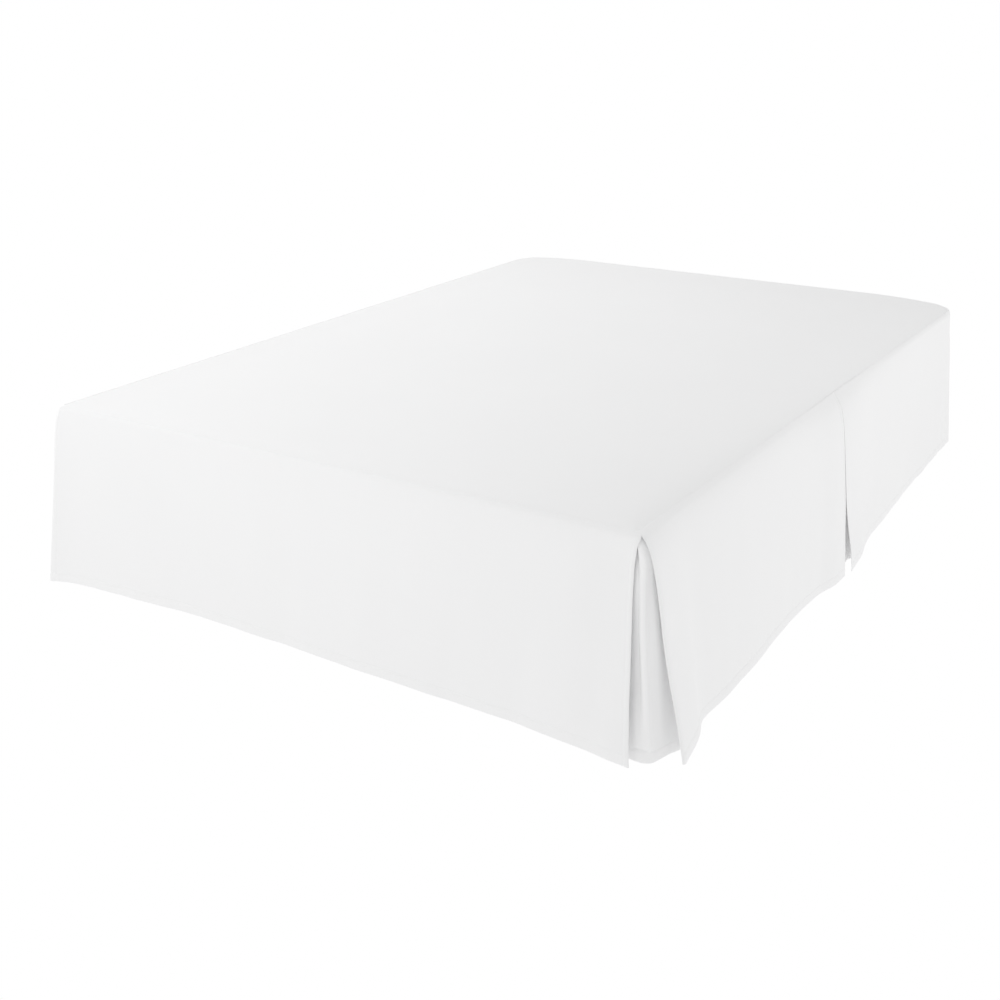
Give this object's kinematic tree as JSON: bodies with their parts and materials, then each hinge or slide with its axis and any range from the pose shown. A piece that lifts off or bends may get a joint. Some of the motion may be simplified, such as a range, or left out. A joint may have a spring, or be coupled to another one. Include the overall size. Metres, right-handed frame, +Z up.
{
  "type": "bed skirt on a box spring bed base",
  "caption": "Tailored white bed skirt: flat deck, plain drops, split foot corners and side splits over underlays, fitted over a plain box spring on legs.",
  "frame": {"origin": "on the floor under the middle of the whole part", "axes": "+Z up, +Y towards the head of the bed, -Y towards the foot, +X to the right seen from the foot"},
  "size_m": [1.5475, 2.0386, 0.425],
  "materials": {
    "cotton": "plain woven white cotton, matte",
    "ticking": "grey box spring cover, matte",
    "leg_wood": "dark stained beech, satin"
  },
  "bodies": {
    "root": {"deck": "cotton", "foot_drop": "cotton", "right_drop_foot": "cotton", "right_drop_head": "cotton", "left_drop_foot": "cotton", "left_drop_head": "cotton", "right_corner_insert": "cotton", "left_corner_insert": "cotton", "right_pleat_insert": "cotton", "left_pleat_insert": "cotton", "box_spring": "ticking", "leg_foot_right": "leg_wood", "leg_foot_left": "leg_wood", "leg_middle_right": "leg_wood", "leg_middle_left": "leg_wood", "leg_head_right": "leg_wood", "leg_head_left": "leg_wood"}
  },
  "joints": []
}
